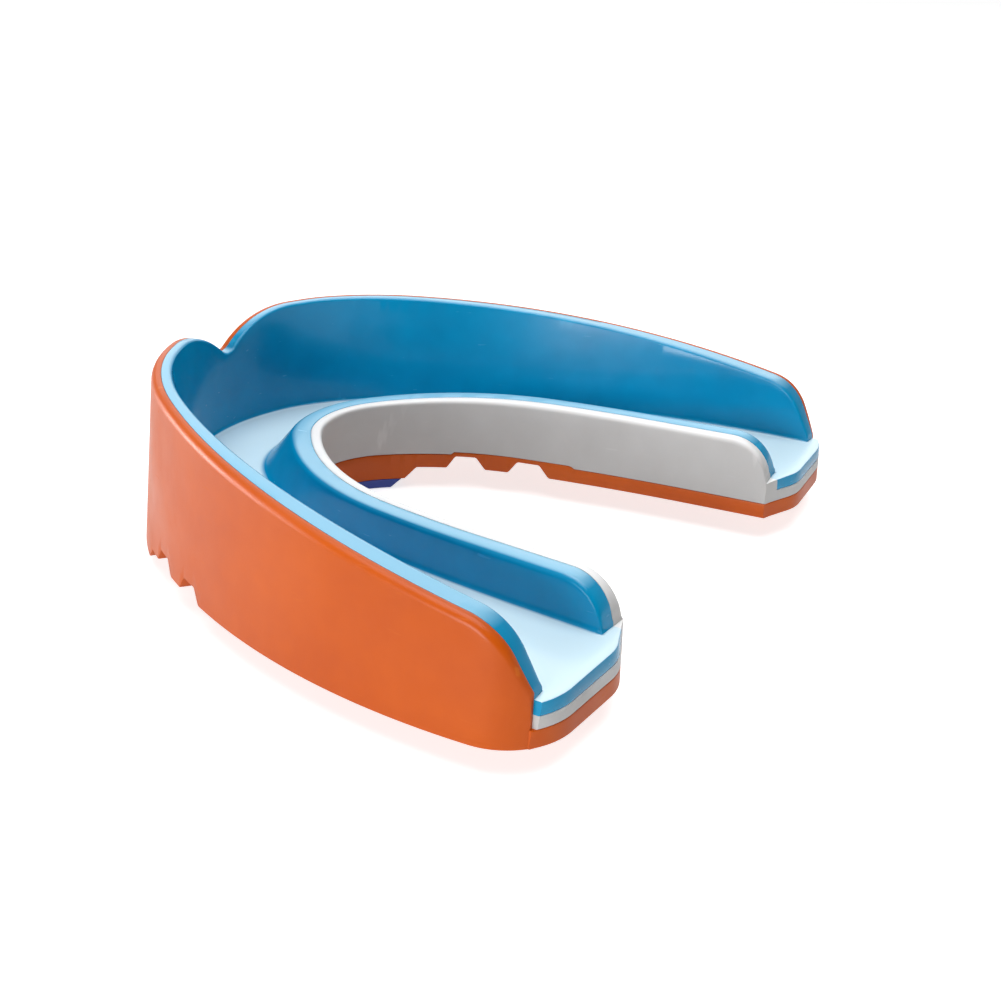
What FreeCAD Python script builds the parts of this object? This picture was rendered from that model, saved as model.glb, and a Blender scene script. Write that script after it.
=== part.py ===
"""Boil-and-bite mouthguard: a horseshoe tray moulded from four layers of soft plastic.

Every sketch is drawn in a working frame whose origin is the foremost point of the outer face,
level with the underside of the arms: +X across the mouth, +Y towards the open back, +Z towards
the upper teeth.  The bodies are then set back and lifted, so that the finished part has its
origin under the middle of its bounding box.  Each body is built as its right-hand half and
mirrored at the end.  Lengths are in millimetres and angles in degrees.
"""

import FreeCAD, Part
import math
import os
import Sketcher

SIZES = {
    # Plan of the outer face: arcs from the centre line round to the heel of an arm.
    "front_radius": 23.905,
    "front_sweep": 43.9,
    "cheek_radius": 28.867,
    "cheek_sweep": 13.1,
    "side_radius": 63.927,
    "side_sweep": 36.1,
    "heel_radius": 5.661,
    "heel_sweep": 83.5,
    "heel_length": 5.464,
    "tail_radius": 4.533,
    "tail_sweep": 27.6,
    # Plan of the tongue-side face at floor level.
    "tongue_start": 14.39,
    "tongue_front_radius": 7.68,
    "tongue_front_sweep": 48.62,
    "tongue_cheek_radius": 27.02,
    "tongue_cheek_sweep": 30.11,
    "tongue_side_radius": 159.49,
    "tongue_side_sweep": 6.14,
    # Plan of the line between liner and frame along the crest of the tongue-side wall.
    "crest_start": 15.14,
    "crest_front_radius": 7.82,
    "crest_front_sweep": 36.23,
    "crest_cheek_radius": 23.69,
    "crest_cheek_sweep": 42.99,
    "crest_side_radius": 91.61,
    "crest_side_sweep": 6.09,
    # Plan of the foot of the liner's outer wall, where it meets the biting floor.
    "lip_start": 2.854,
    "lip_front_radius": 16.476,
    "lip_front_sweep": 37.9,
    "lip_cheek_radius": 18.288,
    "lip_cheek_sweep": 17.6,
    "lip_side_radius": 75.484,
    "lip_side_sweep": 37.5,
    # Plan of the foot of the liner's tongue-side wall.
    "gum_start": 10.1,
    "gum_front_radius": 10.8,
    "gum_front_sweep": 48.79,
    "gum_cheek_radius": 28.79,
    "gum_cheek_sweep": 29.62,
    "gum_side_radius": 168.71,
    "gum_side_sweep": 6.66,
    # Heights above the underside of the arms.
    "shell_floor_top": 1.46,
    "frame_floor_top": 2.5,
    "liner_floor_top": 3.6,
    "inner_wall_top": 7.38,
    "outer_wall_top": 14.65,
    # Outer wall: thicknesses, inward lean over its full height, and where it stops.
    "rim_width": 0.84,
    "lining_width": 0.855,
    "wall_lean": 1.685,
    "wall_end": 53.9,
    "rim_heel_radius": 7.7,
    # Tongue-side wall: thicknesses.
    "frame_foot": 1.6,
    "frame_crest": 1.1,
    "lining_crest": 1.69,
    # Side view of the outer wall's crest: an arc whose peak lies ahead of the front face.
    "top_peak": 15.216,
    "top_lead": 13.95,
    "top_radius": 339.3,
    "top_sweep": 10.68,
    "corner_radius": 5.0,
    "end_slope": 63.0,
    # Front view of the lip notch.
    "notch_bottom": 11.38,
    "notch_radius": 1.28,
    "notch_slope": 42.4,
    "lobe_radius": 10.7,
    # Rounded back end of the tongue-side wall.
    "wall_end_radius": 3.78,
    "wall_end_start": 50.15,
    # Underside: a step below the front, then the pad.
    "step_depth": 1.2,
    "pad_depth": 1.0,
    "pad_inset": 2.8,
    "pad_setback": 2.0,
    "step_taper": 45.0,
    "step_inner_x": 8.2,
    "step_inner_y": 19.65,
    "step_outer_x": 20.0,
    "step_outer_y": 10.5,
    # Underside: slanting drain grooves.
    "groove_depth": 1.25,
    "groove_mouth": 3.7,
    "groove_roof": 2.0,
    "groove_angle": 41.0,
    "groove_length": 26.0,
    "groove_start_x": 7.94,
    "groove_start_y": 26.27,
    "groove_step_x": 1.9,
    "groove_step_y": 6.1,
    # Placement of the working frame in the finished part.
    "setback": 27.85,
}

REACH = 80.0  # longer than the part, for cutting tools that run past it
ROUGH_RUN = 14.0  # first guess at the length of a closing straight, which the sketch then solves
ROUGH_TAIL = 3.0
GROOVES = 2  # on each arm

doc = FreeCAD.newDocument("Mouthguard")
sheet = doc.addObject("Spreadsheet::Sheet", "Sizes")
for row, (alias, value) in enumerate(SIZES.items(), start=1):
    sheet.set("A%d" % row, alias)
    sheet.set("B%d" % row, str(value))
    sheet.setAlias("B%d" % row, alias)
doc.recompute()


class Amount:
    """A length that is a weighted sum of sheet cells, as a number and as an expression."""

    def __init__(self, **weights):
        self.weights = weights

    def value(self):
        return sum(SIZES[alias] * weight for alias, weight in self.weights.items())

    def text(self):
        terms = ["%g * Sizes.%s" % (weight, alias) for alias, weight in self.weights.items() if weight]
        return " + ".join(terms) if terms else "0"

    def plus(self, other, sign=1.0):
        total = dict(self.weights)
        for alias, weight in other.weights.items():
            total[alias] = total.get(alias, 0.0) + sign * weight
        return Amount(**total)


class Curve:
    """One plan curve: where it crosses the centre line, and its tangent arcs in order.

    side is +1 where an offset moves the curve towards the centre of its arcs, -1 away from it.
    """

    def __init__(self, start, arcs, side):
        self.start = start
        self.arcs = arcs
        self.side = side


def plan_curve(start, family, side):
    """The curve made of a family's front, cheek and side arcs."""
    arcs = [("%s_%s_radius" % (family, part), "%s_%s_sweep" % (family, part))
            for part in ("front", "cheek", "side")]
    return Curve(start, arcs, side)


OUTER = Curve(Amount(), [("front_radius", "front_sweep"), ("cheek_radius", "cheek_sweep"),
                         ("side_radius", "side_sweep")], 1)
TONGUE = plan_curve(Amount(tongue_start=1), "tongue", -1)
CREST = plan_curve(Amount(crest_start=1), "crest", -1)
LIP_FOOT = plan_curve(Amount(lip_start=1), "lip", 1)
GUM_FOOT = plan_curve(Amount(gum_start=1), "gum", -1)


class Outline:
    """Draws and constrains a sketch, one segment after another."""

    def __init__(self, sketch):
        self.sketch = sketch
        self.count = 0

    def bind(self, constraint, expression):
        name = "size_%d" % self.count
        self.count += 1
        index = self.sketch.addConstraint(constraint)
        self.sketch.renameConstraint(index, name)
        self.sketch.setExpression("Constraints." + name, expression)

    def join(self, first, first_end, second, second_end):
        self.sketch.addConstraint(Sketcher.Constraint("Coincident", first, first_end, second, second_end))

    def line(self, start, end):
        return self.sketch.addGeometry(Part.LineSegment(start, end), False)

    def arc(self, centre, radius, low, high):
        circle = Part.Circle(centre, FreeCAD.Vector(0, 0, 1), radius)
        return self.sketch.addGeometry(Part.ArcOfCircle(circle, low, high), False)

    def fix(self, segment, end, x_expression, y_expression, point):
        """Ties a point of the sketch to distances from its origin."""
        if x_expression == "0":
            self.sketch.addConstraint(Sketcher.Constraint("PointOnObject", segment, end, -2))
        else:
            self.bind(Sketcher.Constraint("DistanceX", -1, 1, segment, end, point.x), x_expression)
        if y_expression == "0":
            self.sketch.addConstraint(Sketcher.Constraint("PointOnObject", segment, end, -1))
        else:
            self.bind(Sketcher.Constraint("DistanceY", -1, 1, segment, end, point.y), y_expression)


def point(x, y):
    return FreeCAD.Vector(x, y, 0)


class Chain:
    """A run of tangent arcs and lines along a plan curve at an offset."""

    def __init__(self, outline, curve, offset):
        self.outline = outline
        self.offset = offset
        self.side = curve.side
        self.heading = 0.0
        self.end = point(0, curve.start.value() + curve.side * offset.value())
        self.segments = []
        for radius, sweep in curve.arcs:
            self.add_arc(radius, math.radians(SIZES[sweep]), sweep)
        first = self.segments[0]
        sketch = outline.sketch
        sketch.addConstraint(Sketcher.Constraint("PointOnObject", first, 3, -2))
        start = curve.start.plus(offset, curve.side)
        outline.fix(first, 1, "0", start.text() if start.value() else "0", point(0, start.value()))

    def add_arc(self, radius, turn, sweep=None, concentric=True):
        """An arc of a radius in the sheet; a sweep in the sheet fixes how far it turns."""
        outline = self.outline
        size = Amount(**{radius: 1})
        if concentric:
            size = size.plus(self.offset, -self.side)
        centre = self.end + point(-math.sin(self.heading), math.cos(self.heading)) * size.value()
        low = self.heading - math.pi / 2
        segment = outline.arc(centre, size.value(), low, low + turn)
        self.tie(segment)
        outline.bind(Sketcher.Constraint("Radius", segment, size.value()), size.text())
        if sweep:
            outline.bind(Sketcher.Constraint("Angle", segment, turn), "Sizes.%s * 1 deg" % sweep)
        self.heading += turn
        self.end = centre + point(math.sin(self.heading), -math.cos(self.heading)) * size.value()
        return segment

    def add_line(self, length, length_alias=None):
        target = self.end + point(math.cos(self.heading), math.sin(self.heading)) * length
        segment = self.outline.line(self.end, target)
        self.tie(segment)
        if length_alias:
            self.outline.bind(Sketcher.Constraint("Distance", segment, length), "Sizes." + length_alias)
        self.end = target
        return segment

    def tie(self, segment):
        if self.segments:
            last = self.segments[-1]
            self.outline.sketch.addConstraint(Sketcher.Constraint("Tangent", last, 2, segment, 1))
        self.segments.append(segment)


def new_body(label):
    body = doc.addObject("PartDesign::Body", label)
    body.Label = label
    body.Placement = FreeCAD.Placement()
    body.setExpression("Placement.Base.y", "-Sizes.setback")
    body.setExpression("Placement.Base.z", "Sizes.step_depth + Sizes.pad_depth")
    return body


def plane(body, role):
    return next(item for item in body.Origin.OriginFeatures if item.Role == role)


def new_sketch(body, name, role="XY_Plane", height=None):
    """A sketch on one of the body's own origin planes, raised along its normal by an Amount."""
    sketch = body.newObject("Sketcher::SketchObject", name)
    sketch.AttachmentSupport = (plane(body, role), [""])
    sketch.MapMode = "FlatFace"
    if height is not None:
        sketch.setExpression("AttachmentOffset.Base.z", height.text())
    return sketch


def tray_outline(body, name, height, inset=Amount()):
    """The whole footprint between the outer face and the tongue-side face."""
    sketch = new_sketch(body, name, height=height)
    outline = Outline(sketch)
    outer = Chain(outline, OUTER, inset)
    outer.add_arc("heel_radius", math.radians(SIZES["heel_sweep"]), "heel_sweep")
    outer.add_line(SIZES["heel_length"], "heel_length")
    outer.add_arc("tail_radius", math.radians(SIZES["tail_sweep"]), "tail_sweep")
    inner = Chain(outline, TONGUE, Amount())
    inner_line = inner.add_line(ROUGH_RUN)
    outer_line = outer.add_line(ROUGH_TAIL)
    outline.join(outer_line, 2, inner_line, 2)
    close_centre(outline, outer, inner)
    return sketch


def close_centre(outline, outer, inner):
    """The straight edge along the centre line, from one chain's first point to the other's."""
    first = outline.sketch.getPoint(outer.segments[0], 1)
    second = outline.sketch.getPoint(inner.segments[0], 1)
    edge = outline.line(first, second)
    outline.join(edge, 1, outer.segments[0], 1)
    outline.join(edge, 2, inner.segments[0], 1)


def wall_ring(body, name, height, faces):
    """The footprint of a wall between two faces, cut off square at its back end.

    Each face is a plan curve, an offset from it and the radius in the sheet with which the face
    turns in at the heel, or None where it runs straight on.
    """
    sketch = new_sketch(body, name, height=height)
    outline = Outline(sketch)
    chains = []
    for curve, offset, heel in faces:
        chain = Chain(outline, curve, offset)
        reach = SIZES["wall_end"] - chain.end.y
        if heel:
            chain.add_arc(heel, math.asin(reach / SIZES[heel]), concentric=False)
        else:
            chain.add_line(reach)
        chains.append(chain)
    close_ring(outline, chains)
    return sketch


def close_ring(outline, chains):
    """Ends two chains level with the back of the wall and joins them at both ends."""
    for chain in chains:
        outline.bind(Sketcher.Constraint("DistanceY", -1, 1, chain.segments[-1], 2, chain.end.y),
                     "Sizes.wall_end")
    edge = outline.line(chains[0].end, chains[1].end)
    outline.join(edge, 1, chains[0].segments[-1], 2)
    outline.join(edge, 2, chains[1].segments[-1], 2)
    close_centre(outline, chains[0], chains[1])


def loft(body, name, kind, low, high):
    feature = body.newObject("PartDesign::" + kind, name)
    feature.Profile = low
    feature.Sections = [high]
    feature.Ruled = True
    doc.recompute()
    return feature


def shell_wall(body, name, kind="AdditiveLoft", margin=0):
    """The shell's share of the outer wall, or with a margin a cutter that also clears outside it."""
    heel = None if margin else "heel_radius"
    inner_heel = "rim_heel_radius"
    low = wall_ring(body, name + "_low", Amount(), [
        (OUTER, Amount(rim_width=-margin), heel),
        (OUTER, Amount(rim_width=1), inner_heel)])
    high = wall_ring(body, name + "_high", Amount(outer_wall_top=1), [
        (OUTER, Amount(wall_lean=1, rim_width=-margin), heel),
        (OUTER, Amount(wall_lean=1, rim_width=1), inner_heel)])
    return loft(body, name, kind, low, high)


def outer_lining(body, name):
    """The liner's share of the outer wall, with spare outside it where the shell will be cleared."""
    low = wall_ring(body, name + "_low", Amount(liner_floor_top=1), [
        (OUTER, Amount(rim_width=1), None),
        (LIP_FOOT, Amount(), None)])
    high = wall_ring(body, name + "_high", Amount(outer_wall_top=1), [
        (OUTER, Amount(wall_lean=1), None),
        (OUTER, Amount(wall_lean=1, rim_width=1, lining_width=1), None)])
    return loft(body, name, "AdditiveLoft", low, high)


def frame_wall(body, name, kind="AdditiveLoft", margin=0):
    """The frame's share of the tongue-side wall, or a cutter that also clears outside it."""
    low = wall_ring(body, name + "_low", Amount(shell_floor_top=1), [
        (TONGUE, Amount(frame_foot=-margin), None),
        (TONGUE, Amount(frame_foot=1), None)])
    high = wall_ring(body, name + "_high", Amount(inner_wall_top=1), [
        (CREST, Amount(frame_crest=-1 - margin), None),
        (CREST, Amount(), None)])
    return loft(body, name, kind, low, high)


def inner_lining(body, name):
    """The liner's share of the tongue-side wall, with spare where the frame will be cleared."""
    low = wall_ring(body, name + "_low", Amount(liner_floor_top=1), [
        (TONGUE, Amount(frame_foot=0.25), None),
        (GUM_FOOT, Amount(), None)])
    high = wall_ring(body, name + "_high", Amount(inner_wall_top=1), [
        (CREST, Amount(frame_crest=-0.5), None),
        (CREST, Amount(lining_crest=1), None)])
    return loft(body, name, "AdditiveLoft", low, high)


def pad(body, name, sketch, length, downward=False):
    feature = body.newObject("PartDesign::Pad", name)
    feature.Profile = sketch
    feature.Reversed = downward
    feature.setExpression("Length", length.text())
    doc.recompute()
    return feature


def pocket_both_ways(body, name, sketch, length):
    """Cuts a sketch through the body to both sides of its plane."""
    feature = body.newObject("PartDesign::Pocket", name)
    feature.Profile = sketch
    feature.SideType = "Symmetric"
    feature.Length = length
    before = body.Shape.Volume if body.Shape.Solids else 0.0
    doc.recompute()
    if before and feature.Shape.Volume >= before:
        raise RuntimeError("%s removed nothing" % name)
    return feature


def floor_layer(body, name, low, high):
    """One layer of the floor, filling the footprint between two heights."""
    sketch = tray_outline(body, name + "_outline", low)
    return pad(body, name, sketch, high.plus(low, -1))


def trim_crest(body):
    """Shapes the top and the back end of the outer wall, in side view."""
    sketch = new_sketch(body, "crest_profile", "YZ_Plane")
    outline = Outline(sketch)
    radius = SIZES["top_radius"]
    sweep = math.radians(SIZES["top_sweep"])
    corner = SIZES["corner_radius"]
    slope = math.radians(SIZES["end_slope"])
    floor = SIZES["liner_floor_top"]
    centre = point(-SIZES["top_lead"], SIZES["top_peak"] - radius)
    peak = centre + point(0, radius)
    crest_end = centre + point(math.sin(sweep), math.cos(sweep)) * radius
    corner_centre = crest_end - point(math.sin(sweep), math.cos(sweep)) * corner
    corner_end = corner_centre + point(math.sin(slope), math.cos(slope)) * corner
    run = (corner_end.y - floor) / math.tan(slope)
    foot = point(corner_end.x + run, floor)
    crest = outline.arc(centre, radius, math.pi / 2 - sweep, math.pi / 2)
    bend = outline.arc(corner_centre, corner, math.pi / 2 - slope, math.pi / 2 - sweep)
    fall = outline.line(corner_end, foot)
    corners = [point(REACH, floor), point(REACH, REACH), point(-REACH, REACH), point(-REACH, peak.y)]
    sill = outline.line(foot, corners[0])
    back = outline.line(corners[0], corners[1])
    lid = outline.line(corners[1], corners[2])
    front = outline.line(corners[2], corners[3])
    entry = outline.line(corners[3], peak)
    join = outline.join
    sketch.addConstraint(Sketcher.Constraint("Tangent", crest, 1, bend, 2))
    sketch.addConstraint(Sketcher.Constraint("Tangent", bend, 1, fall, 1))
    join(fall, 2, sill, 1)
    join(sill, 2, back, 1)
    join(back, 2, lid, 1)
    join(lid, 2, front, 1)
    join(front, 2, entry, 1)
    join(entry, 2, crest, 2)
    for segment in (sill, lid, entry):
        sketch.addConstraint(Sketcher.Constraint("Horizontal", segment))
    for segment in (back, front):
        sketch.addConstraint(Sketcher.Constraint("Vertical", segment))
    sketch.addConstraint(Sketcher.Constraint("Vertical", crest, 3, crest, 2))
    outline.fix(crest, 2, "-Sizes.top_lead", "Sizes.top_peak", peak)
    outline.bind(Sketcher.Constraint("Radius", crest, radius), "Sizes.top_radius")
    outline.bind(Sketcher.Constraint("Angle", crest, sweep), "Sizes.top_sweep * 1 deg")
    outline.bind(Sketcher.Constraint("Radius", bend, corner), "Sizes.corner_radius")
    outline.bind(Sketcher.Constraint("Angle", bend, slope - sweep),
                 "(Sizes.end_slope - Sizes.top_sweep) * 1 deg")
    outline.bind(Sketcher.Constraint("DistanceY", -1, 1, fall, 2, floor), "Sizes.liner_floor_top")
    sketch.addConstraint(Sketcher.Constraint("Distance", back, REACH - floor))
    sketch.addConstraint(Sketcher.Constraint("DistanceX", -1, 1, sill, 2, REACH))
    sketch.addConstraint(Sketcher.Constraint("DistanceX", -1, 1, lid, 2, -REACH))
    return pocket_both_ways(body, "crest_cut", sketch, 2 * REACH)


def cut_notch(body):
    """Cuts the rounded notch for the lip's cord at the front of the crest, in front view."""
    sketch = new_sketch(body, "notch_profile", "XZ_Plane")
    outline = Outline(sketch)
    slope = math.radians(SIZES["notch_slope"])
    dip = SIZES["notch_radius"]
    lobe = SIZES["lobe_radius"]
    low = SIZES["notch_bottom"]
    top = SIZES["outer_wall_top"]
    away = point(math.sin(slope), math.cos(slope))
    dip_centre = point(0, low + dip)
    dip_end = dip_centre + point(away.x, -away.y) * dip
    rise = top - lobe * (1 - math.cos(slope)) - dip_end.y
    flank_end = dip_end + point(rise / math.tan(slope), rise)
    lobe_centre = flank_end + point(away.x, -away.y) * lobe
    lobe_end = lobe_centre + point(0, lobe)
    bottom = outline.arc(dip_centre, dip, -math.pi / 2, -math.pi / 2 + slope)
    flank = outline.line(dip_end, flank_end)
    shoulder = outline.arc(lobe_centre, lobe, math.pi / 2, math.pi / 2 + slope)
    wall = outline.line(lobe_end, point(lobe_end.x, REACH))
    lid = outline.line(point(lobe_end.x, REACH), point(0, REACH))
    centre = outline.line(point(0, REACH), point(0, low))
    sketch.addConstraint(Sketcher.Constraint("Tangent", bottom, 2, flank, 1))
    sketch.addConstraint(Sketcher.Constraint("Tangent", flank, 2, shoulder, 2))
    outline.join(shoulder, 1, wall, 1)
    outline.join(wall, 2, lid, 1)
    outline.join(lid, 2, centre, 1)
    outline.join(centre, 2, bottom, 1)
    sketch.addConstraint(Sketcher.Constraint("Vertical", wall))
    sketch.addConstraint(Sketcher.Constraint("Horizontal", lid))
    sketch.addConstraint(Sketcher.Constraint("PointOnObject", bottom, 3, -2))
    outline.fix(bottom, 1, "0", "Sizes.notch_bottom", point(0, low))
    sketch.addConstraint(Sketcher.Constraint("PointOnObject", lid, 2, -2))
    outline.bind(Sketcher.Constraint("Radius", bottom, dip), "Sizes.notch_radius")
    outline.bind(Sketcher.Constraint("Angle", bottom, slope), "Sizes.notch_slope * 1 deg")
    outline.bind(Sketcher.Constraint("Radius", shoulder, lobe), "Sizes.lobe_radius")
    outline.bind(Sketcher.Constraint("Angle", shoulder, slope), "Sizes.notch_slope * 1 deg")
    outline.bind(Sketcher.Constraint("DistanceY", -1, 1, shoulder, 1, top), "Sizes.outer_wall_top")
    sketch.addConstraint(Sketcher.Constraint("DistanceY", -1, 1, lid, 1, REACH))
    return pocket_both_ways(body, "notch_cut", sketch, 2 * REACH)


def round_inner_wall_end(body):
    """Rounds the back end of the tongue-side wall down to the floor, in side view."""
    sketch = new_sketch(body, "wall_end_profile", "YZ_Plane")
    outline = Outline(sketch)
    radius = SIZES["wall_end_radius"]
    start = SIZES["wall_end_start"]
    top = SIZES["inner_wall_top"]
    floor = top - radius
    bend = outline.arc(point(start, floor), radius, 0.0, math.pi / 2)
    sill = outline.line(point(start + radius, floor), point(REACH, floor))
    back = outline.line(point(REACH, floor), point(REACH, REACH))
    lid = outline.line(point(REACH, REACH), point(start, REACH))
    front = outline.line(point(start, REACH), point(start, top))
    outline.join(bend, 1, sill, 1)
    outline.join(sill, 2, back, 1)
    outline.join(back, 2, lid, 1)
    outline.join(lid, 2, front, 1)
    outline.join(front, 2, bend, 2)
    for segment in (sill, lid):
        sketch.addConstraint(Sketcher.Constraint("Horizontal", segment))
    for segment in (back, front):
        sketch.addConstraint(Sketcher.Constraint("Vertical", segment))
    outline.fix(bend, 3, "Sizes.wall_end_start", "Sizes.inner_wall_top - Sizes.wall_end_radius",
                point(start, floor))
    outline.bind(Sketcher.Constraint("Radius", bend, radius), "Sizes.wall_end_radius")
    sketch.addConstraint(Sketcher.Constraint("Horizontal", bend, 3, bend, 1))
    sketch.addConstraint(Sketcher.Constraint("Vertical", bend, 3, bend, 2))
    sketch.addConstraint(Sketcher.Constraint("DistanceY", -1, 1, lid, 1, REACH))
    sketch.addConstraint(Sketcher.Constraint("DistanceX", -1, 1, back, 1, REACH))
    return pocket_both_ways(body, "wall_end_cut", sketch, SIZES["wall_end"])


def mirror_half(body):
    """Copies the finished right-hand half to the left."""
    feature = body.newObject("PartDesign::Mirrored", "both_sides")
    feature.TransformMode = "Whole shape"
    feature.MirrorPlane = (plane(body, "YZ_Plane"), [""])
    body.Tip = feature
    doc.recompute()
    return feature


def behind_front_cut(body, name, setback, top, depth):
    """Cuts a slab away behind the slanting line that ends the underside's front step."""
    sketch = new_sketch(body, name + "_line", height=top)
    outline = Outline(sketch)
    inner = point(SIZES["step_inner_x"], SIZES["step_inner_y"] - setback.value())
    outer = point(SIZES["step_outer_x"], SIZES["step_outer_y"] - setback.value())
    slant = (outer.y - inner.y) / (outer.x - inner.x)
    start = point(0, inner.y - slant * inner.x)
    end = point(REACH, inner.y + slant * (REACH - inner.x))
    edge = outline.line(start, end)
    right = outline.line(end, point(REACH, REACH))
    back = outline.line(point(REACH, REACH), point(0, REACH))
    centre = outline.line(point(0, REACH), start)
    outline.join(edge, 2, right, 1)
    outline.join(right, 2, back, 1)
    outline.join(back, 2, centre, 1)
    outline.join(centre, 2, edge, 1)
    sketch.addConstraint(Sketcher.Constraint("Vertical", right))
    sketch.addConstraint(Sketcher.Constraint("Horizontal", back))
    slant_text = "(Sizes.step_outer_y - Sizes.step_inner_y) / (Sizes.step_outer_x - Sizes.step_inner_x)"
    base_text = "Sizes.step_inner_y - (%s)" % setback.text()
    outline.fix(edge, 1, "0", "%s - %s * Sizes.step_inner_x" % (base_text, slant_text), start)
    outline.bind(Sketcher.Constraint("DistanceY", -1, 1, edge, 2, end.y),
                 "%s + %s * (%g - Sizes.step_inner_x)" % (base_text, slant_text, REACH))
    sketch.addConstraint(Sketcher.Constraint("DistanceX", -1, 1, right, 1, REACH))
    sketch.addConstraint(Sketcher.Constraint("DistanceY", -1, 1, back, 1, REACH))
    sketch.addConstraint(Sketcher.Constraint("PointOnObject", back, 2, -2))
    feature = body.newObject("PartDesign::Pocket", name)
    feature.Profile = sketch
    feature.setExpression("Length", depth.text())
    feature.setExpression("TaperAngle", "Sizes.step_taper")
    before = body.Shape.Volume
    doc.recompute()
    if feature.Shape.Volume >= before:
        raise RuntimeError("%s removed nothing" % name)
    return feature


def cut_grooves(body):
    """Cuts the slanting grooves into the underside, each with sloping sides and a flat roof."""
    for index in range(GROOVES):
        name = "groove_%d" % (index + 1)
        mouth = groove_section(body, name + "_mouth", Amount(), "groove_mouth", index)
        roof = groove_section(body, name + "_roof", Amount(groove_depth=1), "groove_roof", index)
        loft(body, name, "SubtractiveLoft", mouth, roof)


def groove_section(body, name, height, width, index):
    """A long rectangle across the arm, turned to the grooves' slant."""
    sketch = new_sketch(body, name, height=height)
    outline = Outline(sketch)
    angle = math.radians(SIZES["groove_angle"])
    along = point(math.cos(angle), -math.sin(angle))
    across = point(math.sin(angle), math.cos(angle)) * (SIZES[width] / 2)
    near = point(SIZES["groove_start_x"] + index * SIZES["groove_step_x"],
                 SIZES["groove_start_y"] + index * SIZES["groove_step_y"])
    far = near + along * SIZES["groove_length"]
    axis = outline.line(near, far)
    sketch.toggleConstruction(axis)
    corners = [near - across, far - across, far + across, near + across]
    sides = [outline.line(corners[i], corners[(i + 1) % 4]) for i in range(4)]
    for i in range(4):
        outline.join(sides[i], 2, sides[(i + 1) % 4], 1)
    outline.fix(axis, 1, "Sizes.groove_start_x + %d * Sizes.groove_step_x" % index,
                "Sizes.groove_start_y + %d * Sizes.groove_step_y" % index, near)
    outline.bind(Sketcher.Constraint("Angle", axis, -angle), "-Sizes.groove_angle * 1 deg")
    outline.bind(Sketcher.Constraint("Distance", axis, SIZES["groove_length"]), "Sizes.groove_length")
    sketch.addConstraint(Sketcher.Constraint("Symmetric", sides[0], 1, sides[2], 2, axis, 1))
    sketch.addConstraint(Sketcher.Constraint("Symmetric", sides[0], 2, sides[2], 1, axis, 2))
    for end in (sides[1], sides[3]):
        sketch.addConstraint(Sketcher.Constraint("Perpendicular", axis, end))
        outline.bind(Sketcher.Constraint("Distance", end, SIZES[width]), "Sizes." + width)
    return sketch


def export(body):
    """Checks the finished body and writes its STEP file."""
    doc.recompute()
    for item in doc.Objects:
        if "Invalid" in item.State or "Error" in item.State:
            raise RuntimeError("%s is %s" % (item.Name, item.State))
    shape = body.Shape
    if shape.isNull() or not shape.isValid() or len(shape.Solids) != 1:
        raise RuntimeError("%s is not one sound solid" % body.Label)
    shape.exportStep("parts/%s.step" % body.Label)
    box = shape.optimalBoundingBox()
    print("%-12s %8.1f mm3  x %.2f..%.2f  y %.2f..%.2f  z %.2f..%.2f" % (
        body.Label, shape.Volume, box.XMin, box.XMax, box.YMin, box.YMax, box.ZMin, box.ZMax))


def make_outer_shell():
    """The coloured outer layer: outer wall, bottom of the floor, front step and grooves."""
    body = new_body("outer_shell")
    shell_wall(body, "rim")
    trim_crest(body)
    cut_notch(body)
    floor_layer(body, "floor", Amount(), Amount(shell_floor_top=1))
    step = tray_outline(body, "step_outline", Amount())
    pad(body, "step", step, Amount(step_depth=1), downward=True)
    behind_front_cut(body, "step_cut", Amount(), Amount(), Amount(step_depth=1))
    cut_grooves(body)
    mirror_half(body)
    return body


def make_inner_frame():
    """The white middle layer: a floor sheet and the tongue-side wall's face."""
    body = new_body("inner_frame")
    frame_wall(body, "wall")
    round_inner_wall_end(body)
    floor_layer(body, "floor", Amount(shell_floor_top=1), Amount(frame_floor_top=1))
    shell_wall(body, "clear_of_rim", "SubtractiveLoft", margin=1)
    mirror_half(body)
    return body


def make_fit_liner():
    """The soft lining that takes the teeth: both walls' linings and the top of the floor."""
    body = new_body("fit_liner")
    outer_lining(body, "outer_lining")
    trim_crest(body)
    cut_notch(body)
    inner_lining(body, "inner_lining")
    round_inner_wall_end(body)
    floor_layer(body, "floor", Amount(frame_floor_top=1), Amount(liner_floor_top=1))
    shell_wall(body, "clear_of_rim", "SubtractiveLoft", margin=1)
    frame_wall(body, "clear_of_frame", "SubtractiveLoft", margin=1)
    mirror_half(body)
    return body


def make_front_pad():
    """The separate pad under the front step."""
    body = new_body("front_pad")
    top = Amount(step_depth=-1)
    sketch = tray_outline(body, "pad_outline", top, Amount(pad_inset=1))
    pad(body, "pad", sketch, Amount(pad_depth=1), downward=True)
    behind_front_cut(body, "pad_cut", Amount(pad_setback=1), top, Amount(pad_depth=1))
    mirror_half(body)
    return body


os.makedirs("parts", exist_ok=True)
for make in (make_outer_shell, make_inner_frame, make_fit_liner, make_front_pad):
    export(make())
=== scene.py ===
"""Looks for the mouthguard: four moulded layers swept round the arch, a studio and a camera.

Shapes are worked out in millimetres in a working frame like the CAD's: the origin is the foremost
point of the outer face, level with the underside of the arms, +X across the mouth, +Y towards the
open back and +Z up.  place() turns a working point into the frame's metres.
"""

import math
import bmesh
import bpy
import numpy as np
from mathutils import Matrix, Vector


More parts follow.
